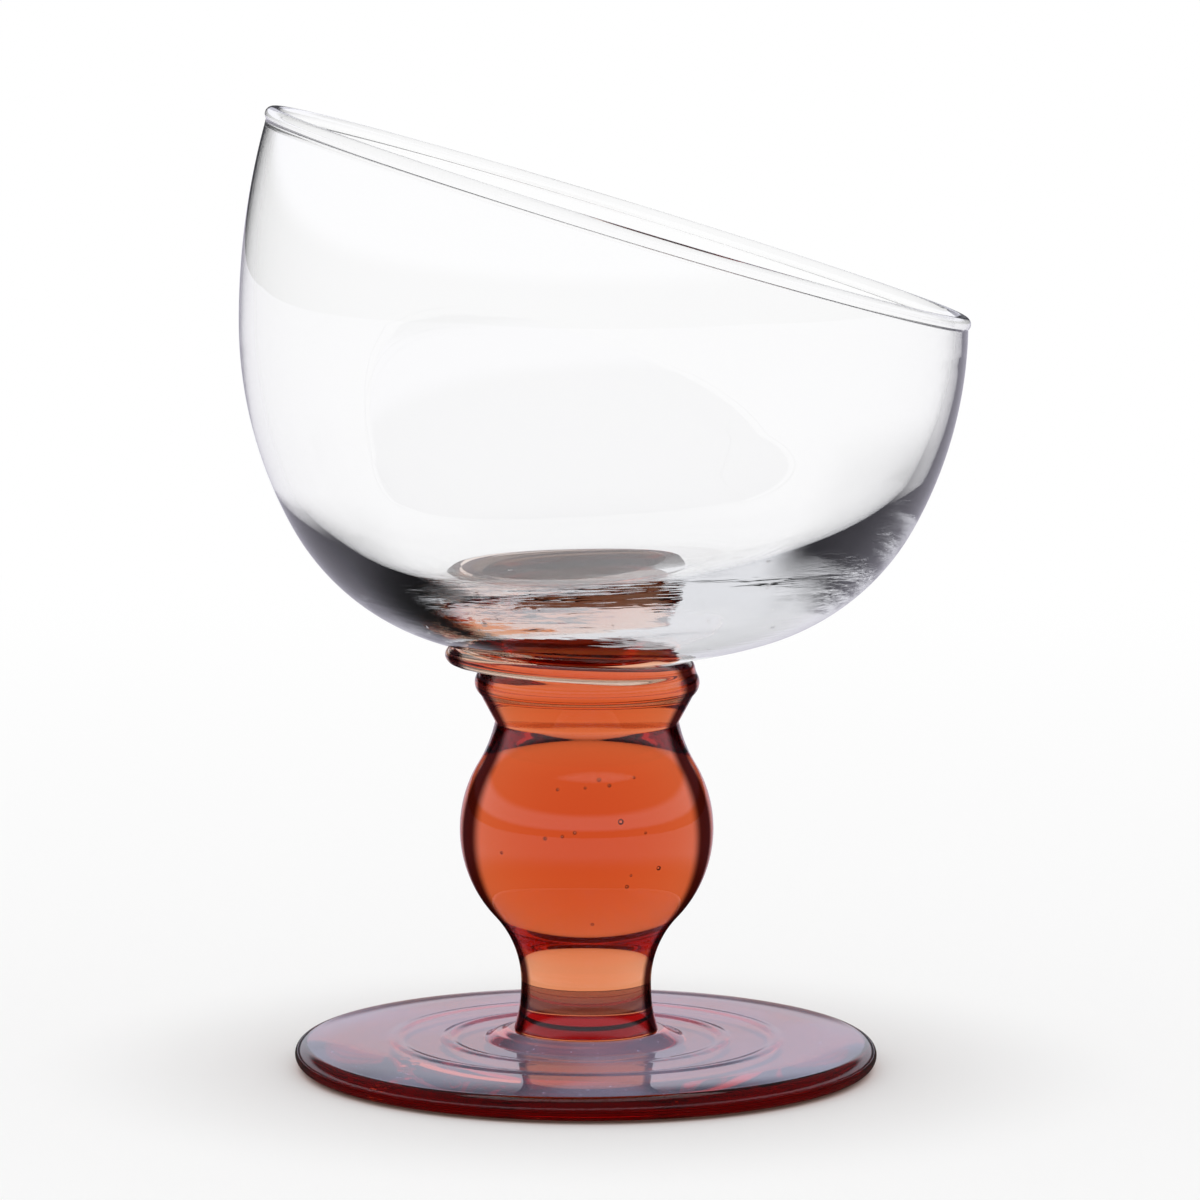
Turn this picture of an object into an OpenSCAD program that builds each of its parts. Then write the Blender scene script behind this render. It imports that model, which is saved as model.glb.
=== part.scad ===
// Ice cream glass. A clear blown bowl, cut at a slant and fire polished, is fused to an amber stem with
// a merese, a collar and a ball knop, and the stem is fused to an amber disc foot.
// The origin is the middle of the foot's resting face. +Z is up, and the rim is high towards -X.

/* [Foot] */
// Diameter of the foot
foot_d = 88.8; // [70:0.2:110]
// Thickness of the foot's disc, whose edge is fully round
foot_t = 4.1; // [3:0.1:7]
// Height of the raised middle above the disc
boss_h = 1.4; // [0.6:0.1:3]
// Diameter at which the raised middle has fallen to the disc
boss_d = 30; // [27:0.2:40]
// Diameters of the shaping rings on the top face
ring_d = [28.2, 42, 58]; // [20:0.2:80]
// Heights of the shaping rings
ring_h = [0.35, 0.18, 0.12]; // [0:0.01:0.5]
// Width of a shaping ring
ring_w = 3.2; // [1:0.1:6]

/* [Stem] */
// Height of the stem, from the foot to the lowest point of the bowl
stem_h = 56.1; // [54:0.1:58]
// Diameter of the stem where it meets the foot
stem_base_d = 22; // [20:0.1:24]
// Diameter of the neck under the knop
neck_d = 19.8; // [15:0.1:21]
// Radius of the hollow curve from the neck into the knop
neck_curve = 15.2; // [10:0.1:18]
// Diameter of the ball knop
knop_d = 38.6; // [34:0.1:42]
// Height of the knop's middle above the foot
knop_z = 30.8; // [29:0.1:32]
// Diameter of the waist above the knop
waist_d = 27.0; // [24:0.1:29]
// Radius of the hollow curve from the knop into the waist
waist_curve = 21; // [16:0.1:26]
// Depth of the crease above the waist curve below the bowl's lowest point
crease_drop = 8.8; // [7.6:0.1:10]

/* [Collar and merese] */
// Diameter of the collar
collar_d = 34.1; // [31:0.1:36]
// Radius of the collar's rounded edge
collar_round = 2.4; // [1.5:0.1:3]
// Depth of the collar's widest level below the bowl's lowest point
collar_drop = 2.8; // [2.1:0.1:3.6]
// Diameter of the merese, the disc that carries the bowl
merese_d = 37.9; // [35:0.1:42]
// Thickness of the merese, whose edge is fully round
merese_t = 2.4; // [1.8:0.1:3.2]
// Height of the merese's middle plane above the bowl's lowest point
merese_rise = 0.4; // [0:0.1:0.9]
// How far the merese sits off the stem's axis, towards -X
merese_shift = 2.6; // [0:0.1:3]
// Tilt of the merese, high towards -X
merese_tilt = 3; // [0:0.1:4]

/* [Bowl] */
// Outer diameter of the bowl at its widest
bowl_d = 109.6; // [95:0.2:120]
// Depth of the outside below the widest level
bowl_depth = 51.7; // [46:0.1:58]
// How far the bowl's axis stands off the stem's axis, towards +X
bowl_shift = 2.3; // [0:0.1:3]
// Radius of the flat curve of the outside round its lowest point
base_curve = 87.5; // [70:0.5:140]
// Radius of the tight curve between the base and the belly
shoulder_curve = 36.2; // [30:0.1:40]
// Radius of the curve from the widest level down
belly_curve = 63.6; // [58:0.1:75]
// Radius of the curve from the widest level up
upper_curve = 113.5; // [80:0.5:200]

/* [Rim] */
// Height of the rim's plane above the widest level, on the bowl's axis
rim_rise = 16.3; // [14:0.1:22]
// Tilt of the rim, high towards -X
rim_tilt = 16.7; // [0:0.1:17]
// Diameter of the fire-polished bead on the rim
bead_d = 2.3; // [1.8:0.05:3]
// Wall thickness under the bead
rim_wall = 1.5; // [1:0.05:1.7]

/* [Cavity] */
// Wall thickness at the widest level
belly_wall = 2.4; // [1.8:0.1:3.4]
// Thickness of the glass under the middle of the cavity
floor_wall = 9.2; // [7.2:0.1:12]
// Radius of the cavity's side, from the widest level down
side_curve = 58; // [48:0.5:66]
// Radius of the tight curve between the cavity's side and its floor
corner_curve = 30; // [24:0.5:36]
// Radius of the cavity's floor
floor_curve = 160; // [130:1:200]
// Slope of the cavity's floor, low towards -X
floor_tilt = 3; // [0:0.1:5]

/* [Hidden] */
// Clearance between the bowl and the hollow that seats it
seat_gap = 0.02;
// Smallest step along the foot's top, and its margin round the stem
fine = 0.5;
// Steps of a turn of the bowl, of an arc and of the wall up to the bead
turn_steps = 64;
arc_steps = 5;
wall_steps = 6;
// Facets of a turned piece in the preview
lathe_fn = 144;
seat_z = foot_t + boss_h;
stem_base_r = stem_base_d / 2;
knop_r = knop_d / 2;
bowl_r = bowl_d / 2;
bead_r = bead_d / 2;
bowl_bottom = seat_z + stem_h;
belly_z = bowl_bottom + bowl_depth;
cavity_bottom = bowl_bottom + floor_wall;

// Points of an arc about a centre, from angle a to angle b
function arc(centre, r, a, b, steps = arc_steps) =
    [for (i = [0:steps]) let (t = a + (b - a) * i / steps) centre + r * [cos(t), sin(t)]];
// An outline without the points that two arcs share
function joined(points) =
    [for (i = [0:len(points) - 1]) if (i == 0 || norm(points[i] - points[i - 1]) > 0.001) points[i]];
// Direction from one point to another
function bearing(from, to) = atan2(to[1] - from[1], to[0] - from[0]);
// Where two circles cross, on the right of the line from the first centre to the second
function crossing(p, rp, q, rq) =
    let (d = norm(q - p), u = (q - p) / d, a = (rp * rp - rq * rq + d * d) / (2 * d),
         h = sqrt(max(rp * rp - a * a, 0)))
    p + a * u + h * [u[1], -u[0]];
// A bump of height 1 at 0 that falls smoothly to 0 at 1 and -1
function bump(t) = abs(t) < 1 ? (1 + cos(180 * t)) / 2 : 0;
function sum(list, i = 0) = i < len(list) ? list[i] + sum(list, i + 1) : 0;

// Foot
foot_edge_r = foot_t / 2;
foot_flat_r = foot_d / 2 - foot_edge_r;
boss_top_r = stem_base_r + fine;
function foot_top(r) =
    foot_t + boss_h * bump((r - boss_top_r) / (boss_d / 2 - boss_top_r))
    + sum([for (i = [0:len(ring_d) - 1]) ring_h[i] * bump((2 * r - ring_d[i]) / ring_w)]);

module foot() {
    color([0.72, 0.20, 0.13])
    rotate_extrude($fn = lathe_fn)
    polygon(joined(concat(
        [[0, 0]],
        arc([foot_flat_r, foot_edge_r], foot_edge_r, -90, 90, 2 * arc_steps),
        [for (r = [foot_flat_r - fine:-fine:boss_top_r + fine / 2]) [r, foot_top(r)]],
        [[boss_top_r, seat_z], [0, seat_z]])));
}

// Stem
knop_at = [0, seat_z + knop_z];
// Centre of a hollow curve that touches the knop, above it (side 1) or below it (side -1)
function hollow_at(narrow_r, curve, side) =
    [narrow_r + curve, knop_at[1] + side * sqrt(pow(knop_r + curve, 2) - pow(narrow_r + curve, 2))];
neck_at = hollow_at(neck_d / 2, neck_curve, -1);
waist_at = hollow_at(waist_d / 2, waist_curve, 1);
// The neck spreads to the stem's base along one arc
neck_h = neck_at[1] - seat_z;
spread = stem_base_r - neck_d / 2;
spread_curve = (neck_h * neck_h + spread * spread) / (2 * spread);
spread_at = [neck_d / 2 + spread_curve, neck_at[1]];
crease_z = bowl_bottom - crease_drop;
collar_at = [collar_d / 2 - collar_round, bowl_bottom - collar_drop];
// The angle on the collar's round at which its cone begins
collar_under = -50;

module stem_body() {
    rotate_extrude($fn = lathe_fn)
    polygon(joined(concat(
        [[0, seat_z]],
        arc(spread_at, spread_curve, 180 + asin(neck_h / spread_curve), 180),
        arc(neck_at, neck_curve, 180, bearing(neck_at, knop_at)),
        arc(knop_at, knop_r, bearing(knop_at, neck_at), bearing(knop_at, waist_at), 5 * arc_steps),
        arc(waist_at, waist_curve, 180 + bearing(knop_at, waist_at),
            180 + asin((waist_at[1] - crease_z) / waist_curve)),
        arc(collar_at, collar_round, collar_under, 90, 2 * arc_steps),
        [[0, collar_at[1] + collar_round]])));
}

module merese() {
    edge = merese_t / 2;
    translate([-merese_shift, 0, bowl_bottom + merese_rise]) rotate([0, merese_tilt, 0])
    rotate_extrude($fn = lathe_fn)
    polygon(concat([[0, -edge]], arc([merese_d / 2 - edge, 0], edge, -90, 90, 2 * arc_steps), [[0, edge]]));
}

module stem() {
    color([0.80, 0.32, 0.14])
    difference() {
        union() {
            stem_body();
            merese();
        }
        translate([bowl_shift, 0, -seat_gap]) bowl_base();
    }
}

// Bowl, as one closed skin: a section turns about the bowl's axis, and its top follows the slanted rim
base_at = [0, bowl_bottom + base_curve];
belly_at = [bowl_r - belly_curve, belly_z];
upper_at = [bowl_r - upper_curve, belly_z];
shoulder_at = crossing(belly_at, belly_curve - shoulder_curve, base_at, base_curve - shoulder_curve);
// The angle on the belly's arc up to which every section is the same
shared_angle = -4;
lower_outline = joined(concat(
    arc(base_at, base_curve, -90, bearing(base_at, shoulder_at)),
    arc(shoulder_at, shoulder_curve, bearing(base_at, shoulder_at), bearing(belly_at, shoulder_at)),
    arc(belly_at, belly_curve, bearing(belly_at, shoulder_at), shared_angle)));
// A point of the wall, at depth inside its outer face, where angle is 0 at the widest level
function wall_at(angle, depth) =
    angle < 0 ? belly_at + (belly_curve - depth) * [cos(angle), sin(angle)]
              : upper_at + (upper_curve - depth) * [cos(angle), sin(angle)];
// The wall's angle at the rim's plane, at a turn about the bowl's axis
function rim_angle(turn) =
    let (slope = cos(turn) * tan(rim_tilt))
    asin((rim_rise - slope * upper_at[0]) / (upper_curve - rim_wall / 2) / sqrt(1 + slope * slope))
    - atan(slope);
// How far round the bead its circle meets the wall, and the wall's angle that this takes
bead_side = acos(rim_wall / bead_d);
bead_angle = asin(bead_r * sin(bead_side) / upper_curve);
// The wall thins only near the bead
function wall_t(up) = belly_wall + (rim_wall - belly_wall) * pow(up, 4);
// The cavity below the widest level, before its floor slopes
side_at = [bowl_r - belly_wall - side_curve, belly_z];
floor_at = [0, cavity_bottom + floor_curve];
corner_at = crossing(side_at, side_curve - corner_curve, floor_at, floor_curve - corner_curve);
cavity_outline = joined(concat(
    arc(side_at, side_curve, shared_angle, bearing(side_at, corner_at)),
    arc(corner_at, corner_curve, bearing(side_at, corner_at), bearing(floor_at, corner_at), 2 * arc_steps),
    arc(floor_at, floor_curve, bearing(floor_at, corner_at), -90)));
// A point of the cavity at a turn about the bowl's axis. The slope sets in with the square of the depth
function sloped(p, turn) =
    [p[0], p[1] + p[0] * cos(turn) * tan(floor_tilt) * pow((belly_z - p[1]) / (belly_z - cavity_bottom), 2)];
function section(turn) =
    let (top = rim_angle(turn), end = top - bead_angle)
    concat(
        [for (i = [1:len(lower_outline) - 1]) lower_outline[i]],
        [for (i = [1:wall_steps - 1]) wall_at(shared_angle + (end - shared_angle) * i / wall_steps, 0)],
        arc(wall_at(top, rim_wall / 2), bead_r, top - bead_side, top + 180 + bead_side, 2 * arc_steps),
        [for (i = [wall_steps - 1:-1:1])
            wall_at(shared_angle + (end - shared_angle) * i / wall_steps, wall_t(i / wall_steps))],
        [for (i = [0:len(cavity_outline) - 2]) sloped(cavity_outline[i], turn)]);

module bowl_base() {
    rotate_extrude($fn = lathe_fn)
    polygon(concat(lower_outline, [[0, lower_outline[len(lower_outline) - 1][1]]]));
}

module bowl() {
    rings = len(section(0));
    points = [for (j = [0:turn_steps - 1]) let (turn = 360 * j / turn_steps)
        for (p = section(turn)) [p[0] * cos(turn), p[0] * sin(turn), p[1]]];
    low = len(points);
    function at(i, j) = (j % turn_steps) * rings + i;
    faces = [for (j = [0:turn_steps - 1]) each concat(
        [[low, at(0, j), at(0, j + 1)], [low + 1, at(rings - 1, j + 1), at(rings - 1, j)]],
        [for (i = [0:rings - 2]) each [[at(i, j), at(i + 1, j + 1), at(i, j + 1)],
                                       [at(i, j), at(i + 1, j), at(i + 1, j + 1)]]])];
    color([0.90, 0.93, 0.95, 0.5])
    translate([bowl_shift, 0, 0])
    polyhedron(concat(points, [[0, 0, bowl_bottom], [0, 0, cavity_bottom]]), faces);
}

bowl();
stem();
foot();
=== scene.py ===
from math import acos, asin, atan, atan2, cos, degrees, hypot, pi, radians, sin, sqrt, tan

import bmesh
import bpy
import numpy as np
from mathutils import Matrix, Vector


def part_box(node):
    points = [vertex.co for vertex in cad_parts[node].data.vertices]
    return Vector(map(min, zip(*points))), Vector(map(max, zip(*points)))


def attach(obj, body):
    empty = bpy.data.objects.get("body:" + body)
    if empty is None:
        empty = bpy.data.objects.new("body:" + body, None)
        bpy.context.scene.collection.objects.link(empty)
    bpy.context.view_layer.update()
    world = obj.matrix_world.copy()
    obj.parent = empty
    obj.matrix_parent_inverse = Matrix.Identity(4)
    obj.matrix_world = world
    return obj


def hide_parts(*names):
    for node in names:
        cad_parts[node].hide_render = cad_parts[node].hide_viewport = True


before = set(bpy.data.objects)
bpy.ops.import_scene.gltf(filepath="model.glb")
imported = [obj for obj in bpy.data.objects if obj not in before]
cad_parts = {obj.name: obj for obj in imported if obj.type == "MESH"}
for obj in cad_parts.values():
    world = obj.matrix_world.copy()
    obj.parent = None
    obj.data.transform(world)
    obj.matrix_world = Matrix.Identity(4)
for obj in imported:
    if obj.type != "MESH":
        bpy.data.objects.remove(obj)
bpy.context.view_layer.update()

# Every size is in millimetres, as in the part's source, until a mesh is made
MM = 0.001


def node_box(node):
    low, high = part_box(node)
    return np.array(low) / MM, np.array(high) / MM


bowl_low, bowl_high = node_box("bowl")
stem_low, stem_high = node_box("stem")
foot_low, foot_high = node_box("foot")

# Foot
foot_d = foot_high[0] - foot_low[0]
foot_t = 4.1
seat_z = foot_high[2]
boss_h = seat_z - foot_t
boss_d = 30
ring_d = [28.2, 42, 58]
ring_h = [0.35, 0.18, 0.12]
ring_w = 3.2
# Stem
stem_base_d = 22
neck_d = 19.8
neck_curve = 15.2
knop_d = stem_high[1] - stem_low[1]
knop_z = 30.8
waist_d = 27.0
waist_curve = 21
crease_drop = 8.8
# Collar and merese
collar_d = 34.1
collar_round = 2.4
collar_drop = 2.8
merese_d = 37.9
merese_t = 2.4
merese_rise = 0.4
merese_shift = 2.6
merese_tilt = 3
# Bowl
bowl_d = bowl_high[1] - bowl_low[1]
bowl_bottom = bowl_low[2]
bowl_depth = 51.7
bowl_shift = 2.3
base_curve = 87.5
shoulder_curve = 36.2
belly_curve = 63.6
upper_curve = 113.5
# Rim
rim_rise = 16.3
rim_tilt = 16.7
bead_d = 2.3
rim_wall = 1.5
# Cavity
belly_wall = 2.4
floor_wall = 9.2
side_curve = 58
corner_curve = 30
floor_curve = 160
floor_tilt = 3

# Clearance at a fused seam, whose two faces let light straight through
SEAM = 0.02
# Steps of a turn
BOWL_TURN = 320
STEM_TURN = 256
FOOT_TURN = 288
# Steps across the stem's seat on the foot
SEAT_STEPS = 4
# How often a stretch is halved to find a crossing
HALVINGS = 34

bowl_r = bowl_d / 2
bead_r = bead_d / 2
knop_r = knop_d / 2
stem_base_r = stem_base_d / 2
belly_z = bowl_bottom + bowl_depth


def arc(centre, radius, start, end, steps):
    angles = np.radians(np.linspace(start, end, steps + 1))
    return [(centre[0] + radius * cos(a), centre[1] + radius * sin(a)) for a in angles]


def joined(points):
    """An outline without the points that two stretches share."""
    kept = [points[0]]
    for p in points[1:]:
        if hypot(p[0] - kept[-1][0], p[1] - kept[-1][1]) > 0.001:
            kept.append(p)
    return kept


def bearing(start, end):
    return degrees(atan2(end[1] - start[1], end[0] - start[0]))


def crossing(p, rp, q, rq):
    """Where two circles cross, on the right of the line from the first centre to the second."""
    d = hypot(q[0] - p[0], q[1] - p[1])
    u = ((q[0] - p[0]) / d, (q[1] - p[1]) / d)
    a = (rp * rp - rq * rq + d * d) / (2 * d)
    h = sqrt(max(rp * rp - a * a, 0))
    return (p[0] + a * u[0] + h * u[1], p[1] + a * u[1] - h * u[0])


def bump(t):
    """A bump of height 1 at 0 that falls smoothly to 0 at 1 and -1."""
    t = np.clip(np.abs(t), 0, 1)
    return (1 + np.cos(pi * t)) / 2


def ease(t):
    """A smooth step from 0 at 0 to 1 at 1."""
    t = np.clip(t, 0, 1)
    return t * t * (3 - 2 * t)


def last_inside(low, high, inside):
    """The end of the stretch from low on over which the test holds, found by halving."""
    for _ in range(HALVINGS):
        mid = (low + high) / 2
        low, high = (mid, high) if inside(mid) else (low, mid)
    return low


def turned(count, section, shift=0.0):
    """Rings of points: a section that may change with the turn, about an axis that is shifted along X."""
    columns = []
    for turn in np.arange(count) * 2 * pi / count:
        columns.append([(shift + r * cos(turn), r * sin(turn), z) for r, z in section(turn)])
    return np.array(columns).transpose(1, 0, 2)


def skin(name, rings, low_pole, high_pole, **marked):
    """A closed mesh through rings of points, from one pole to the other. Each mark is a face attribute
    that is 1 on the rows of faces that it names, where row 0 is round the low pole and the last is round
    the high one."""
    rings = np.asarray(rings)
    rows, count = rings.shape[:2]
    points = np.concatenate([rings.reshape(-1, 3), [low_pole, high_pole]]) * MM
    low, high = rows * count, rows * count + 1
    faces = []
    face_rows = []
    for j in range(count):
        k = (j + 1) % count
        faces.append((low, k, j))
        face_rows.append(0)
        faces.append((high, (rows - 1) * count + j, (rows - 1) * count + k))
        face_rows.append(rows)
    for i in range(rows - 1):
        for j in range(count):
            k = (j + 1) % count
            faces.append((i * count + j, i * count + k, (i + 1) * count + k, (i + 1) * count + j))
            face_rows.append(i + 1)
    mesh = bpy.data.meshes.new(name)
    mesh.from_pydata(points.tolist(), [], faces)
    for mark, marked_rows in marked.items():
        values = np.isin(face_rows, list(marked_rows)).astype(float)
        mesh.attributes.new(mark, "FLOAT", "FACE").data.foreach_set("value", values)
    mesh.shade_smooth()
    piece = bpy.data.objects.new(name, mesh)
    bpy.context.scene.collection.objects.link(piece)
    return piece


def mark_points(piece, mark, values):
    """A point attribute. The two poles are the last points, and take the values of the first and last."""
    whole = np.concatenate([values, [values[0], values[-1]]]).astype(float)
    piece.data.attributes.new(mark, "FLOAT", "POINT").data.foreach_set("value", whole)


# The bowl's outer outline below its widest level
base_at = (0, bowl_bottom + base_curve)
belly_at = (bowl_r - belly_curve, belly_z)
upper_at = (bowl_r - upper_curve, belly_z)
shoulder_at = crossing(belly_at, belly_curve - shoulder_curve, base_at, base_curve - shoulder_curve)
# The angle on the belly's arc up to which every section has the same outside
SHARED_ANGLE = -4
base_end = base_curve * cos(radians(bearing(base_at, shoulder_at)))


def bowl_under(r):
    """Height of the bowl's underside at a distance from the bowl's axis."""
    return bowl_bottom + base_curve - np.sqrt(base_curve ** 2 - r ** 2)


def merese_mid(x):
    """Height of the tilted merese's middle plane."""
    return bowl_bottom + merese_rise - (x + merese_shift) * tan(radians(merese_tilt))


def seam_radius(turn):
    """How far from the bowl's axis its underside leaves the merese's top face."""
    def seated(r):
        return bowl_under(r) - merese_mid(bowl_shift + r * cos(turn)) - merese_t / 2 < 0

    return last_inside(0.0, base_end, seated)


def wall_at(angle, depth):
    """A point of the wall, at a depth inside its outer face, where the angle is 0 at the widest level."""
    centre, radius = (belly_at, belly_curve) if angle < 0 else (upper_at, upper_curve)
    reach = radius - depth
    return (centre[0] + reach * cos(radians(angle)), centre[1] + reach * sin(radians(angle)))


def rim_angle(turn):
    """The wall's angle at the rim's plane, at a turn about the bowl's axis."""
    slope = cos(turn) * tan(radians(rim_tilt))
    reach = (rim_rise - slope * upper_at[0]) / (upper_curve - rim_wall / 2) / sqrt(1 + slope * slope)
    return degrees(asin(reach) - atan(slope))


bead_side = degrees(acos(rim_wall / bead_d))
bead_angle = degrees(asin(bead_r * sin(radians(bead_side)) / upper_curve))
cavity_bottom = bowl_bottom + floor_wall
side_at = (bowl_r - belly_wall - side_curve, belly_z)
floor_at = (0, cavity_bottom + floor_curve)
corner_at = crossing(side_at, side_curve - corner_curve, floor_at, floor_curve - corner_curve)


def thinning(z, top_z):
    """How much thinner than the belly the wall is at a height, ever faster up to the bead at the top."""
    return (belly_wall - rim_wall) * max((z - THINS_FROM) / (top_z - THINS_FROM), 0) ** 2


def sloped(p, turn):
    """A point of the cavity at a turn about the bowl's axis. The slope grows with the depth's square."""
    deep = (belly_z - p[1]) / (belly_z - cavity_bottom)
    return (p[0], p[1] + p[0] * cos(turn) * tan(radians(floor_tilt)) * deep ** 2)


# The heights between which the bowl's sides get painted shade, and over how much height it grows and fades
SHADE_FROM, SHADE_TO, SHADE_RISE = 64, 96, 10
# How much lower those heights are on the left and higher on the right, outside this distance from the axis
SHADE_LEAN, SHADE_SPAN = 6, 6
# The height that the base's streaks reach on the outside, and over how much height they fade
STREAK_TOP, STREAK_FADE = 79, 8
# The height up to which the bowl's underside mirrors nothing, and over how much height that ends
DULL_TOP, DULL_FADE = 65.2, 1.2
# The height from which the wall thins towards the rim
THINS_FROM = 88
# Steps along the outside: over the seam, the base, the shoulder and the belly, up the wall and round the bead
SEAM_STEPS, BASE_STEPS, SHOULDER_STEPS, BELLY_STEPS, WALL_STEPS, BEAD_STEPS = 10, 12, 22, 26, 34, 24
# Steps down the cavity: its side, its corner and its floor
SIDE_STEPS, CORNER_STEPS, FLOOR_STEPS = 14, 36, 20
lower_outline = joined(
    arc(shoulder_at, shoulder_curve, bearing(base_at, shoulder_at), bearing(belly_at, shoulder_at),
        SHOULDER_STEPS)
    + arc(belly_at, belly_curve, bearing(belly_at, shoulder_at), SHARED_ANGLE, BELLY_STEPS))
# The cavity below the wall, without its first point, which the wall passes, and its last, which is the pole
cavity_outline = joined(
    arc(side_at, side_curve, SHARED_ANGLE, bearing(side_at, corner_at), SIDE_STEPS)
    + arc(corner_at, corner_curve, bearing(side_at, corner_at), bearing(floor_at, corner_at), CORNER_STEPS)
    + arc(floor_at, floor_curve, bearing(floor_at, corner_at), -90, FLOOR_STEPS))[1:-1]


def bowl_section(turn):
    """The bowl's outline from the lowest point out, up, over the bead and down to the cavity's floor."""
    seam_r = seam_radius(turn)
    inner = [seam_r * (i + 1) / SEAM_STEPS for i in range(SEAM_STEPS)]
    outer = [seam_r + (base_end - seam_r) * (i + 1) / BASE_STEPS for i in range(BASE_STEPS)]
    top = rim_angle(turn)
    end = top - bead_angle
    walls = [SHARED_ANGLE + (end - SHARED_ANGLE) * i / WALL_STEPS for i in range(1, WALL_STEPS)]
    top_z = wall_at(end, rim_wall)[1]
    return (
        [(r, bowl_under(r)) for r in inner + outer]
        + lower_outline[1:]
        + [wall_at(a, 0) for a in walls]
        + arc(wall_at(top, rim_wall / 2), bead_r, top - bead_side, top + 180 + bead_side, BEAD_STEPS)
        + [wall_at(a, belly_wall - thinning(wall_at(a, belly_wall)[1], top_z)) for a in reversed(walls)]
        + [sloped((r + thinning(z, top_z), z), turn) for r, z in cavity_outline])


def make_bowl():
    rings = turned(BOWL_TURN, bowl_section, bowl_shift)
    piece = skin("glass_bowl", rings, (bowl_shift, 0, bowl_bottom), (bowl_shift, 0, cavity_bottom),
                 seam=range(SEAM_STEPS))
    # The marks lie on the outside up to just below the widest level, which the first points make
    x, _, z = rings.reshape(-1, 3).T
    lower_points = BOWL_TURN * (SEAM_STEPS + BASE_STEPS + len(lower_outline) - 1)
    lower = np.arange(len(z)) < lower_points
    # Where the bowl's base takes painted shade
    side = np.clip((x - bowl_shift) / SHADE_SPAN, -1, 1)
    above_base = ease((z - SHADE_FROM - SHADE_LEAN * side) / SHADE_RISE)
    below_wall = ease((SHADE_TO + SHADE_LEAN * side - z) / SHADE_RISE)
    mark_points(piece, "shade", lower * above_base * below_wall)
    dull = lower * ease((DULL_TOP - z) / DULL_FADE)
    mark_points(piece, "streaks", (lower - dull) * ease((STREAK_TOP - z) / STREAK_FADE))
    mark_points(piece, "dull", dull)
    return piece


# Stem
knop_at = (0, seat_z + knop_z)


def hollow_at(narrow_r, curve, side):
    """Centre of a hollow curve that touches the knop, above it (side 1) or below it (side -1)."""
    rise = sqrt((knop_r + curve) ** 2 - (narrow_r + curve) ** 2)
    return (narrow_r + curve, knop_at[1] + side * rise)


neck_at = hollow_at(neck_d / 2, neck_curve, -1)
waist_at = hollow_at(waist_d / 2, waist_curve, 1)
neck_h = neck_at[1] - seat_z
spread = stem_base_r - neck_d / 2
spread_curve = (neck_h * neck_h + spread * spread) / (2 * spread)
spread_at = (neck_d / 2 + spread_curve, neck_at[1])
crease_z = bowl_bottom - crease_drop
collar_at = (collar_d / 2 - collar_round, bowl_bottom - collar_drop)
# The angle on the collar's round at which its cone begins, and that point
COLLAR_UNDER = -50
cone_at = arc(collar_at, collar_round, COLLAR_UNDER, COLLAR_UNDER, 1)[0]
# How softly the merese runs into the collar
BLEND = 0.7
# Distance from the stem's axis of the point from which the head's outline is swept, and a turn past its end
SWEEP_R, SWEEP_END = 11, radians(60)
# Steps up the stem, round the collar and the merese, and across the hollow that seats the bowl
SPREAD_STEPS, NECK_STEPS, KNOP_STEPS, WAIST_STEPS, CONE_STEPS = 20, 16, 80, 20, 8
HEAD_STEPS = 60
CUP_STEPS = 12


def head_outline(turn):
    """The collar and the merese in one direction, up to the seam with the bowl."""
    ux, uy = cos(turn), sin(turn)
    # Where the merese's edge circle is centred in this direction
    edge_r = merese_d / 2 - merese_t / 2
    edge_at = -merese_shift * ux + sqrt(edge_r ** 2 - (merese_shift * uy) ** 2)
    origin = np.array([SWEEP_R, merese_mid(SWEEP_R * ux)])

    def cup_z(r):
        """Height of the hollow that seats the bowl."""
        return float(bowl_under(hypot(r * ux - bowl_shift, r * uy))) - SEAM

    def in_glass(p):
        """Whether a point lies in the collar or the merese, or in the soft blend between them."""
        r, z = p
        collar = hypot(max(r - collar_at[0], 0), z - collar_at[1]) - collar_round
        merese = hypot(max(r - edge_at, 0), z - merese_mid(r * ux)) - merese_t / 2
        mix = min(max(0.5 + (merese - collar) / (2 * BLEND), 0), 1)
        return merese + (collar - merese) * mix - BLEND * mix * (1 - mix) < 0

    def reach(angle):
        """Where a ray from the origin leaves the glass."""
        step = np.array([cos(angle), sin(angle)])
        return origin + last_inside(0.0, 2 * collar_d, lambda far: in_glass(origin + far * step)) * step

    def under_bowl(angle):
        r, z = reach(angle)
        return z < cup_z(r)

    start = atan2(cone_at[1] - origin[1], cone_at[0] - origin[0])
    end = last_inside(0.0, SWEEP_END, under_bowl)
    shares = np.linspace(0, 1, HEAD_STEPS + 1)[1:]
    outline = [tuple(reach(start + (end - start) * s)) for s in shares]
    seam_r = outline[-1][0]
    inwards = [seam_r * (1 - i / CUP_STEPS) for i in range(1, CUP_STEPS)]
    return outline + [(r, cup_z(r)) for r in inwards]


def stem_outline():
    """The stem from its seat up to the collar."""
    waist_end = 180 + degrees(asin((waist_at[1] - crease_z) / waist_curve))
    lower = (
        arc(spread_at, spread_curve, 180 + degrees(asin(neck_h / spread_curve)), 180, SPREAD_STEPS)
        + arc(neck_at, neck_curve, 180, bearing(neck_at, knop_at), NECK_STEPS)
        + arc(knop_at, knop_r, bearing(knop_at, neck_at), bearing(knop_at, waist_at), KNOP_STEPS)
        + arc(waist_at, waist_curve, 180 + bearing(knop_at, waist_at), waist_end, WAIST_STEPS))
    r, z = lower[-1]
    cone = [(r + (cone_at[0] - r) * i / CONE_STEPS, z + (cone_at[1] - z) * i / CONE_STEPS)
            for i in range(1, CONE_STEPS + 1)]
    return joined(lower + cone)


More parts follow.
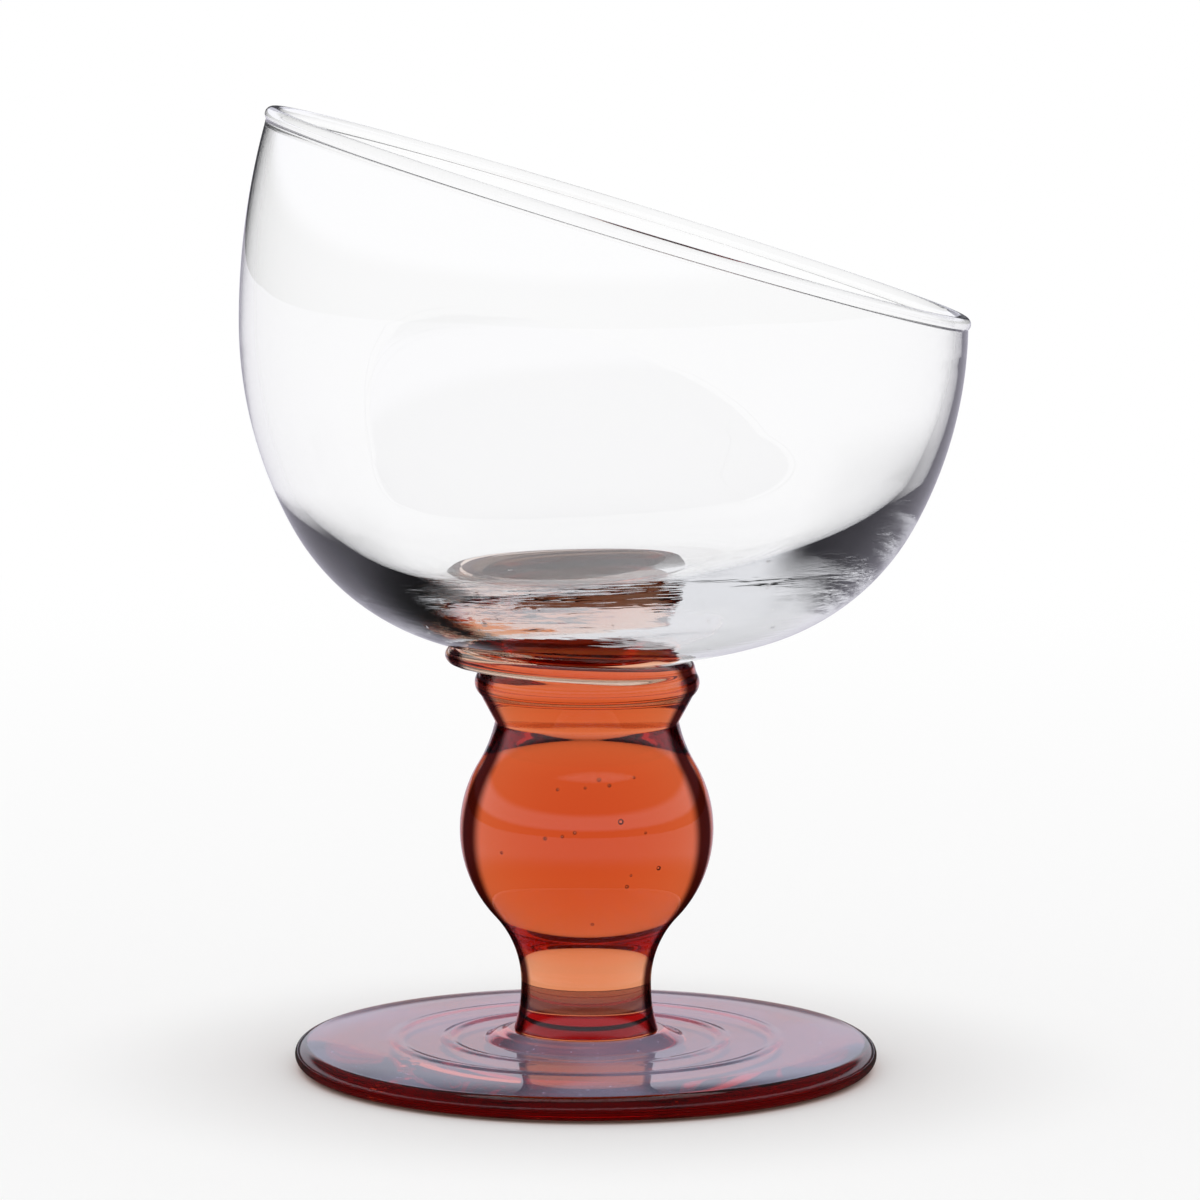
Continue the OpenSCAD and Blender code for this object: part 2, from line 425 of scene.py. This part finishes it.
def make_stem():
    lower = stem_outline()
    seat = [(stem_base_r * i / SEAT_STEPS, seat_z + SEAM) for i in range(1, SEAT_STEPS + 1)]
    rings = turned(STEM_TURN, lambda turn: seat + lower[1:] + head_outline(turn))
    first_cup = len(rings) - CUP_STEPS + 1
    top = (0, 0, float(bowl_under(bowl_shift)) - SEAM)
    # The shade rows take painted shade on the stem's sides
    return skin("amber_stem", rings, (0, 0, seat_z + SEAM), top,
                seam=[*range(SEAT_STEPS), *range(first_cup, len(rings) + 1)],
                shade=range(SEAT_STEPS, first_cup))


# Foot
foot_edge_r = foot_t / 2
foot_flat_r = foot_d / 2 - foot_edge_r
# The flat of the boss round the stem
BOSS_MARGIN = 0.5
boss_top_r = stem_base_r + BOSS_MARGIN
# How the foot's top falls softly to its edge: by this much, over this width
FALL, FALL_W = 0.4, 7
# The turn at which the hand-made foot is thinnest, how far to each side it is thinner, and by how much more
# its top falls there, over a width that is so much greater
THIN_TURN, THIN_SPAN = radians(235), radians(60)
THIN_FALL, THIN_W = 0.35, 8
# How uneven the rings are round the foot
RING_UNEVEN = 0.5
# Steps across the underside, round the edge and across the top
UNDER_STEPS, EDGE_STEPS, TOP_STEPS = 6, 28, 130


def foot_top(r, turn):
    """Height of the foot's top face."""
    height = foot_t + boss_h * bump(max(r - boss_top_r, 0) / (boss_d / 2 - boss_top_r))
    for d, h in zip(ring_d, ring_h):
        height += h * (1 + RING_UNEVEN * cos(turn + d)) * bump((2 * r - d) / ring_w)
    return float(height) - edge_fall(r, turn)


def edge_fall(r, turn):
    """How far the top has fallen towards the edge."""
    thin = float(bump((turn - THIN_TURN) / THIN_SPAN))
    width = FALL_W + THIN_W * thin
    return (FALL + THIN_FALL * thin) * max(1 - (foot_flat_r - r) / width, 0) ** 2


def foot_section(turn):
    """The foot's outline from its underside round the edge, over the top and in over the seat."""
    level = 1 - edge_fall(foot_flat_r, turn) / foot_t
    edge = arc((foot_flat_r, foot_edge_r), foot_edge_r, -90, 90, EDGE_STEPS)
    return (
        [(foot_flat_r * i / UNDER_STEPS, 0) for i in range(1, UNDER_STEPS)]
        + [(r, z * level) for r, z in edge]
        + [(r, foot_top(r, turn)) for r in np.linspace(foot_flat_r, boss_top_r, TOP_STEPS)[1:]]
        + [(stem_base_r * i / SEAT_STEPS, seat_z) for i in range(SEAT_STEPS, 0, -1)])


def make_foot():
    rings = turned(FOOT_TURN, foot_section)
    first_top = UNDER_STEPS - 1 + EDGE_STEPS
    return skin("amber_foot", rings, (0, 0, 0), (0, 0, seat_z),
                seam=range(len(rings) - SEAT_STEPS + 1, len(rings) + 1),
                top=range(first_top, first_top + TOP_STEPS))


# Node helpers
def feed(tree, socket, value):
    """Gives a socket a plain value, or links it to another node's output."""
    if isinstance(value, bpy.types.NodeSocket):
        tree.links.new(value, socket)
    else:
        socket.default_value = value


def calc(tree, operation, *values):
    node = tree.nodes.new("ShaderNodeMath")
    node.operation = operation
    for socket, value in zip(node.inputs, values):
        feed(tree, socket, value)
    return node.outputs[0]


def smooth_step(tree, value, start, end, low=0.0, high=1.0):
    node = tree.nodes.new("ShaderNodeMapRange")
    node.interpolation_type = "SMOOTHSTEP"
    for socket, number in zip(node.inputs, (value, start, end, low, high)):
        feed(tree, socket, number)
    return node.outputs[0]


def mix_colour(tree, factor, first, second):
    node = tree.nodes.new("ShaderNodeMix")
    node.data_type = "RGBA"
    feed(tree, node.inputs["Factor"], factor)
    colours = [socket for socket in node.inputs if socket.type == "RGBA"]
    for socket, colour in zip(colours, (first, second)):
        feed(tree, socket, colour if isinstance(colour, bpy.types.NodeSocket) else (*colour, 1))
    return [socket for socket in node.outputs if socket.type == "RGBA"][0]


def mix_shader(tree, factor, first, second):
    node = tree.nodes.new("ShaderNodeMixShader")
    for socket, value in zip(node.inputs, (factor, first, second)):
        feed(tree, socket, value)
    return node.outputs[0]


def attribute(tree, name):
    node = tree.nodes.new("ShaderNodeAttribute")
    node.attribute_name = name
    return node.outputs["Fac"]


# Materials
WHITE = (1, 1, 1)
IOR = 1.52
# What the glass absorbs per metre
CLEAR_ABSORBED = (2.2, 2.1, 1.7)
STEM_ABSORBED = (12, 67, 107)
FOOT_ABSORBED = (24, 170, 240)
# Painted shade at a seam: what a seam leaves of light that has turned in the glass
SEAM_PAINTED_SHADE = (0.21, 0.18, 0.17)
NO_PAINTED_SHADE = WHITE
# How much a seam mirrors of light that comes from a reflection, and how roughly
SEAM_GLANCE = 0.25
GLANCE_ROUGHNESS = 0.05
# The bowl's seam doesn't dim light that turned less than this many mm away and came through the base only
SEAM_NEAR = 21
# Of that light, it mirrors this much of what turned more than this many mm away
CLOSE_GLANCE = 0.6
SEAM_BESIDE = 16
# The slants between which the bowl's base and the stem get painted shade, which stands in for the dark sides
# of a studio that the scene doesn't have, and the colours of that painted shade
BASE_SLANTS = (0.60, 0.76, 0.86, 0.99)
STEM_SLANTS = (0.82, 0.90, 0.955, 0.985)
BASE_PAINTED_SHADE = (0.01, 0.01, 0.012)
STEM_PAINTED_SHADE = (0.08, 0.035, 0.045)
# The streaks that the bowl's base shows: depth in metres, and scale, detail and stretch of their noise
STREAK_DEPTH = 0.0003
STREAK_NOISE = (120, 4, (0.15, 0.25, 2.6))
# The dust on the foot, whose lilac colour is also painted sheen on its top. Its patches and specks have a
# scale and a detail, two ends of the noise, and the thicknesses at those ends
DUST_AND_SHEEN_COLOUR = (0.66, 0.68, 0.98)
PATCH_NOISE, PATCH_RANGE = (45, 2), (0.35, 0.65, 0.12, 0.26)
SPECK_NOISE, SPECK_RANGE = (1500, 1), (0.72, 0.78, 0.0, 0.35)
# Between a count of one and a count of two
ONE_OR_TWO = 1.5


def new_material(name):
    material = bpy.data.materials.new(name)
    material.use_nodes = True
    material.node_tree.nodes.clear()
    return material, material.node_tree


def painted_side_shade(tree, leaving, start, full, fade, end):
    """Painted shade on the glass's colour, which stands in for the dark sides of a studio that the scene
    doesn't have, laid where solid round glass would gather them near its outline. The slant is the sine of
    the level angle between the light outside and the wall. There is no shade below start or past end, and
    full shade from full to fade. It is laid on light that leaves solid glass, or else on light that enters
    it."""
    geometry = tree.nodes.new("ShaderNodeNewGeometry")
    across = tree.nodes.new("ShaderNodeVectorMath")
    across.operation = "CROSS_PRODUCT"
    feed(tree, across.inputs[0], geometry.outputs["Normal"])
    across.inputs[1].default_value = (0, 0, 1)
    level = tree.nodes.new("ShaderNodeVectorMath")
    level.operation = "NORMALIZE"
    feed(tree, level.inputs[0], across.outputs[0])
    weight = tree.nodes.new("ShaderNodeLayerWeight")
    feed(tree, weight.inputs["Normal"], level.outputs[0])
    sideways = calc(tree, "SUBTRACT", 1.0, weight.outputs["Facing"])
    if leaving:
        path = tree.nodes.new("ShaderNodeLightPath")
        slant = calc(tree, "MULTIPLY", sideways, IOR)
        solid_only = calc(tree, "LESS_THAN", path.outputs["Transmission Depth"], ONE_OR_TWO)
        counted = calc(tree, "MULTIPLY", solid_only, geometry.outputs["Backfacing"])
    else:
        slant = sideways
        counted = calc(tree, "SUBTRACT", 1.0, geometry.outputs["Backfacing"])
    shade = calc(tree, "MULTIPLY", smooth_step(tree, slant, start, full),
                 smooth_step(tree, slant, fade, end, 1, 0))
    return calc(tree, "MULTIPLY", calc(tree, "MULTIPLY", shade, attribute(tree, "shade")), counted)


def glass(name, absorbed, seam_painted_shade, seam_glance, seam_near=0, dust_and_sheen_film=None):
    """Clear solid glass. The light that is left after a metre is exp(-absorbed). A fused seam is unseen
    straight on, and dims light that has turned in the glass, as painted shade. It mirrors a share of what
    comes from a reflection. Points marked dull mirror nothing. A film of dust and painted sheen lies on the
    glass as thickly as its factor says."""
    material, tree = new_material(name)
    output = tree.nodes.new("ShaderNodeOutputMaterial")
    surface = tree.nodes.new("ShaderNodeBsdfGlass")
    surface.inputs["Roughness"].default_value = 0.0
    surface.inputs["IOR"].default_value = IOR
    through = tree.nodes.new("ShaderNodeBsdfTransparent")
    path = tree.nodes.new("ShaderNodeLightPath")
    dimmed = calc(tree, "GREATER_THAN", path.outputs["Ray Depth"], ONE_OR_TWO)
    share = calc(tree, "MULTIPLY", mirrored(tree, path), seam_glance)
    if seam_near:
        solid_only = calc(tree, "LESS_THAN", path.outputs["Transmission Depth"], ONE_OR_TWO)
        close = calc(tree, "LESS_THAN", path.outputs["Ray Length"], seam_near * MM)
        clear = calc(tree, "MULTIPLY", solid_only, close)
        dimmed = calc(tree, "MULTIPLY", dimmed, calc(tree, "SUBTRACT", 1.0, clear))
        other = calc(tree, "MULTIPLY", share, calc(tree, "SUBTRACT", 1.0, solid_only))
        beside = calc(tree, "GREATER_THAN", path.outputs["Ray Length"], SEAM_BESIDE * MM)
        glancing = calc(tree, "MULTIPLY", clear, beside)
        share = calc(tree, "ADD", other, calc(tree, "MULTIPLY", glancing, CLOSE_GLANCE))
    # Painted shade at the seam, on light that has turned in the glass
    feed(tree, through.inputs["Color"], mix_colour(tree, dimmed, NO_PAINTED_SHADE, seam_painted_shade))
    glance = tree.nodes.new("ShaderNodeBsdfGlossy")
    glance.inputs["Roughness"].default_value = GLANCE_ROUGHNESS
    glance.inputs["Color"].default_value = (*WHITE, 1)
    seam = mix_shader(tree, share, through.outputs[0], glance.outputs[0])
    faced = surface.outputs[0]
    if seam_near:
        bent = tree.nodes.new("ShaderNodeBsdfRefraction")
        bent.inputs["Roughness"].default_value = 0.0
        bent.inputs["IOR"].default_value = IOR
        geometry = tree.nodes.new("ShaderNodeNewGeometry")
        front = calc(tree, "SUBTRACT", 1.0, geometry.outputs["Backfacing"])
        dull = calc(tree, "MULTIPLY", attribute(tree, "dull"), front)
        faced = mix_shader(tree, dull, faced, bent.outputs[0])
    shader = mix_shader(tree, attribute(tree, "seam"), faced, seam)
    if dust_and_sheen_film:
        shader = mix_shader(tree, dust_and_sheen_film(tree), shader, dust_and_sheen_shader(tree))
    feed(tree, output.inputs["Surface"], shader)
    strongest = max(absorbed)
    volume = tree.nodes.new("ShaderNodeVolumeAbsorption")
    volume.inputs["Color"].default_value = (*[1 - a / strongest for a in absorbed], 1)
    volume.inputs["Density"].default_value = strongest
    feed(tree, output.inputs["Volume"], volume.outputs[0])
    return material, tree, surface


def mirrored(tree, path):
    """Whether light comes straight from a reflection. Refracted light counts as glossy too."""
    return calc(tree, "GREATER_THAN", path.outputs["Is Glossy Ray"], path.outputs["Is Transmission Ray"])


# A lilac diffuse for dust, which is also painted sheen on the foot's top
def dust_and_sheen_shader(tree):
    node = tree.nodes.new("ShaderNodeBsdfDiffuse")
    node.inputs["Color"].default_value = (*DUST_AND_SHEEN_COLOUR, 1)
    return node.outputs[0]


def noise(tree, scale, detail, stretch=(1, 1, 1)):
    """Noise from 0 to 1 over the object's own place. Unstretched patches are about 1 / scale of a metre."""
    coordinate = tree.nodes.new("ShaderNodeTexCoord")
    mapping = tree.nodes.new("ShaderNodeMapping")
    mapping.inputs["Scale"].default_value = stretch
    feed(tree, mapping.inputs["Vector"], coordinate.outputs["Object"])
    node = tree.nodes.new("ShaderNodeTexNoise")
    feed(tree, node.inputs["Vector"], mapping.outputs[0])
    node.inputs["Scale"].default_value = scale
    node.inputs["Detail"].default_value = detail
    return node.outputs["Fac"]


def foot_dust_and_sheen(tree):
    """A thin film on the foot's top, patchy, with denser specks: dust, and a lilac painted sheen."""
    patches = smooth_step(tree, noise(tree, *PATCH_NOISE), *PATCH_RANGE)
    specks = smooth_step(tree, noise(tree, *SPECK_NOISE), *SPECK_RANGE)
    geometry = tree.nodes.new("ShaderNodeNewGeometry")
    from_outside = calc(tree, "SUBTRACT", 1.0, geometry.outputs["Backfacing"])
    thickness = calc(tree, "MULTIPLY", calc(tree, "ADD", patches, specks), attribute(tree, "top"))
    return calc(tree, "MULTIPLY", thickness, from_outside)


def clear_glass():
    material, tree, surface = glass("clear bowl glass", CLEAR_ABSORBED, SEAM_PAINTED_SHADE, SEAM_GLANCE, SEAM_NEAR)
    # Painted shade on the sides of the bowl's base
    shade = painted_side_shade(tree, True, *BASE_SLANTS)
    feed(tree, surface.inputs["Color"], mix_colour(tree, shade, WHITE, BASE_PAINTED_SHADE))
    streaks = calc(tree, "MULTIPLY", noise(tree, *STREAK_NOISE), attribute(tree, "streaks"))
    bump_node = tree.nodes.new("ShaderNodeBump")
    bump_node.inputs["Distance"].default_value = STREAK_DEPTH
    feed(tree, bump_node.inputs["Height"], streaks)
    feed(tree, surface.inputs["Normal"], bump_node.outputs[0])
    return material


def amber_glass():
    material, tree, surface = glass("amber stem glass", STEM_ABSORBED, NO_PAINTED_SHADE, 0)
    # Painted shade on the stem's sides
    shade = painted_side_shade(tree, False, *STEM_SLANTS)
    feed(tree, surface.inputs["Color"], mix_colour(tree, shade, WHITE, STEM_PAINTED_SHADE))
    return material


def dress(piece, material, node):
    piece.data.materials.append(material)
    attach(piece, "root")
    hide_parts(node)


dress(make_bowl(), clear_glass(), "bowl")
dress(make_stem(), amber_glass(), "stem")
foot_glass = glass("amber foot glass", FOOT_ABSORBED, SEAM_PAINTED_SHADE, SEAM_GLANCE, dust_and_sheen_film=foot_dust_and_sheen)[0]
dress(make_foot(), foot_glass, "foot")


# Bubbles and seeds: sideways and upwards from the middle of the ball, and the radius
KNOP_SEEDS = [
    (1.8, 9.5, 0.30), (3.3, 8.7, 0.28), (-0.2, 8.4, 0.22), (-4.2, 8.1, 0.25), (6.9, 9.6, 0.22),
    (5.0, 3.6, 0.45), (-1.7, 2.1, 0.28), (-3.5, 1.5, 0.25), (-6.0, 1.1, 0.28), (-12.3, -1.6, 0.25),
    (10.5, -3.6, 0.36), (5.9, -6.1, 0.30), (6.5, -4.4, 0.20), (0.9, -12.0, 0.28), (8.6, 1.8, 0.20)]
# How deep the ball's seeds lie under its surface
SEED_DEPTH = 1.2
# In the bowl's base and in the merese: place and radius
BASE_SEEDS = [
    (-11.5, -8, 69.2, 0.45), (-10.0, -10, 68.4, 0.22), (5.5, -6, 67.6, 0.22), (17.5, -22, 68.8, 0.24),
    (26.0, -20, 72.5, 0.28), (27.5, -12, 71.0, 0.20), (-22.0, -16, 71.2, 0.22)]
# In the foot: a pair that touches, and some that are scattered
FOOT_SEEDS = [
    (-27.0, -16.0, 2.4, 0.85), (-25.4, -15.3, 2.4, 0.7), (-31.5, 6.0, 2.2, 0.30), (-20.5, 18.0, 2.5, 0.25),
    (12.0, -27.5, 2.3, 0.28), (29.0, 3.5, 2.4, 0.25), (33.5, -12.0, 2.0, 0.30), (-6.5, -36.0, 2.2, 0.25)]


def make_seeds(name, places):
    """Small round bubbles in one mesh."""
    sphere = bmesh.new()
    for x, y, z, radius in places:
        bmesh.ops.create_icosphere(sphere, subdivisions=3, radius=radius * MM,
                                   matrix=Matrix.Translation(Vector((x, y, z)) * MM))
    mesh = bpy.data.meshes.new(name)
    sphere.to_mesh(mesh)
    sphere.free()
    mesh.shade_smooth()
    piece = bpy.data.objects.new(name, mesh)
    bpy.context.scene.collection.objects.link(piece)
    return piece


def knop_place(x, up, radius):
    """A seed under the ball's front, where it is seen from."""
    within = sqrt((knop_r - SEED_DEPTH) ** 2 - x * x - up * up)
    return (x, -within, knop_at[1] + up, radius)


def air():
    """The inside of a bubble, seen from the glass around it."""
    material, tree = new_material("air bubble")
    output = tree.nodes.new("ShaderNodeOutputMaterial")
    surface = tree.nodes.new("ShaderNodeBsdfGlass")
    surface.inputs["Roughness"].default_value = 0.0
    surface.inputs["IOR"].default_value = 1 / IOR
    feed(tree, output.inputs["Surface"], surface.outputs[0])
    return material


bubble = air()
for name, places, slot in (
        ("knop_seeds", [knop_place(*seed) for seed in KNOP_SEEDS], "amber_glass"),
        ("base_seeds", BASE_SEEDS, "clear_glass"),
        ("foot_seeds", FOOT_SEEDS, "amber_glass")):
    seeds = make_seeds(name, places)
    seeds.data.materials.append(bubble)
    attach(seeds, "root")


# Camera, as fitted to the photograph's outlines
CAMERA_AT = (1.6, -798.6, 160.6)
CAMERA_PITCH = 6.384
CAMERA_ROLL = -0.2
SENSOR = 36
LENS = 159.2

camera_data = bpy.data.cameras.new("camera")
camera_data.sensor_width = SENSOR
camera_data.lens = LENS
camera = bpy.data.objects.new("camera", camera_data)
camera.location = [c * MM for c in CAMERA_AT]
camera.rotation_euler = (radians(90 - CAMERA_PITCH), radians(CAMERA_ROLL), 0)
bpy.context.scene.collection.objects.link(camera)
bpy.context.scene.camera = camera


# Floor and light
# Half the floor's side and its height, in metres
FLOOR_HALF, FLOOR_Z = 6.0, -0.0003
PAPER = (0.9, 0.9, 0.9)
# Painted shadow: the floor's colour under the foot
SHADOW_PAINTED_UNDER_FOOT = (0.2, 0.2, 0.2)
# How much of the floor's look near the foot is its own plain white. Far off it all is
NEAR_GLOW = 0.6
# Painted reflection: the floor's colour as glass mirrors it, dark near the foot as painted shade, and lilac
# far off
NEAR_REFLECTED = (0.06, 0.06, 0.06)
FAR_REFLECTED = (0.55, 0.53, 0.62)
# Distances from the foot's middle, in foot radii. The painted shadow under the foot ends and glass sees plain
# white
UNDER_END, WHITE_END = 0.95, 1.2
# The painted reflections of the floor change between these
FAR_START, FAR_END = 1.5, 3.2
# The plain white grows fast up to the first, and slowly up to the second
NEAR_GLOW_END, FAR_GLOW_END = 2, 16
# The ceiling darkens between these heights of a unit direction, to this level
CEILING_START, CEILING_END, CEILING_LEVEL = 0.7, 0.85, 0.75
# The white panel that glass reflects: the heights of a unit direction between which it grows and between
# which it fades, and the level beside it
REFLECTED_WHITE = (0.88, 0.88, 1.0)
PANEL_START, PANEL_FOOT, PANEL_TOP, PANEL_FADE = 0.08, 0.14, 0.28, 0.38
BESIDE_PANEL = 0.1


def make_floor():
    mesh = bpy.data.meshes.new("floor")
    signs = ((-1, -1), (1, -1), (1, 1), (-1, 1))
    corners = [(x * FLOOR_HALF, y * FLOOR_HALF, FLOOR_Z) for x, y in signs]
    mesh.from_pydata(corners, [], [(0, 1, 2, 3)])
    piece = bpy.data.objects.new("floor", mesh)
    bpy.context.scene.collection.objects.link(piece)
    material, tree = new_material("floor")
    output = tree.nodes.new("ShaderNodeOutputMaterial")
    geometry = tree.nodes.new("ShaderNodeNewGeometry")
    away = tree.nodes.new("ShaderNodeVectorMath")
    away.operation = "LENGTH"
    feed(tree, away.inputs[0], geometry.outputs["Position"])
    foot_r = foot_d / 2 * MM
    path = tree.nodes.new("ShaderNodeLightPath")
    paper = tree.nodes.new("ShaderNodeBsdfDiffuse")
    open_floor = smooth_step(tree, away.outputs["Value"], UNDER_END * foot_r, foot_r)
    far_off = smooth_step(tree, away.outputs["Value"], FAR_START * foot_r, FAR_END * foot_r)
    # Painted reflection and painted shadow: the floor's colour in reflections, and dark under the foot
    reflected = mix_colour(tree, far_off, NEAR_REFLECTED, FAR_REFLECTED)
    plain = mix_colour(tree, open_floor, SHADOW_PAINTED_UNDER_FOOT, PAPER)
    feed(tree, paper.inputs["Color"], mix_colour(tree, mirrored(tree, path), plain, reflected))
    glow = tree.nodes.new("ShaderNodeEmission")
    glow.inputs["Strength"].default_value = 1.0
    clear_view = calc(tree, "MAXIMUM", path.outputs["Is Camera Ray"], path.outputs["Is Transmission Ray"])
    near = smooth_step(tree, away.outputs["Value"], foot_r, NEAR_GLOW_END * foot_r, 0.0, NEAR_GLOW)
    far = smooth_step(tree, away.outputs["Value"], NEAR_GLOW_END * foot_r, FAR_GLOW_END * foot_r,
                      0.0, 1 - NEAR_GLOW)
    beside = smooth_step(tree, away.outputs["Value"], UNDER_END * foot_r, WHITE_END * foot_r)
    in_glass = calc(tree, "MULTIPLY", beside, path.outputs["Is Transmission Ray"])
    seen_clearly = calc(tree, "MULTIPLY", clear_view, calc(tree, "ADD", near, far))
    share = calc(tree, "MAXIMUM", in_glass, seen_clearly)
    feed(tree, output.inputs["Surface"], mix_shader(tree, share, paper.outputs[0], glow.outputs[0]))
    mesh.materials.append(material)


make_floor()


def make_world():
    """A white studio, alike from every side: the camera sees white, light through glass sees white under a
    darker ceiling, and glass mirrors a white panel that stands a little above the horizon."""
    world = bpy.data.worlds.new("studio")
    bpy.context.scene.world = world
    world.use_nodes = True
    tree = world.node_tree
    tree.nodes.clear()
    output = tree.nodes.new("ShaderNodeOutputWorld")
    background = tree.nodes.new("ShaderNodeBackground")
    coordinate = tree.nodes.new("ShaderNodeTexCoord")
    parts = tree.nodes.new("ShaderNodeSeparateXYZ")
    feed(tree, parts.inputs[0], coordinate.outputs["Generated"])
    height = parts.outputs["Z"]
    path = tree.nodes.new("ShaderNodeLightPath")
    ceiling = smooth_step(tree, height, CEILING_START, CEILING_END, 1.0, CEILING_LEVEL)
    panel = calc(tree, "MULTIPLY", smooth_step(tree, height, PANEL_START, PANEL_FOOT),
                 smooth_step(tree, height, PANEL_TOP, PANEL_FADE, 1.0, 0.0))
    reflected = calc(tree, "ADD", BESIDE_PANEL, calc(tree, "MULTIPLY", panel, 1 - BESIDE_PANEL))
    mirror = mirrored(tree, path)
    through = path.outputs["Is Transmission Ray"]
    seen = calc(tree, "ADD", calc(tree, "MULTIPLY", mirror, reflected),
                calc(tree, "MULTIPLY", through, ceiling))
    plain = calc(tree, "SUBTRACT", 1.0, calc(tree, "ADD", mirror, through))
    feed(tree, background.inputs["Color"], mix_colour(tree, mirror, WHITE, REFLECTED_WHITE))
    feed(tree, background.inputs["Strength"], calc(tree, "ADD", plain, seen))
    feed(tree, output.inputs["Surface"], background.outputs[0])


make_world()

# How often light may pass a surface, and how often it may be mirrored
PASSES, MIRRORINGS = 24, 12

scene = bpy.context.scene
scene.view_settings.view_transform = "Standard"
scene.cycles.max_bounces = PASSES
scene.cycles.transmission_bounces = PASSES
scene.cycles.transparent_max_bounces = PASSES
scene.cycles.glossy_bounces = MIRRORINGS
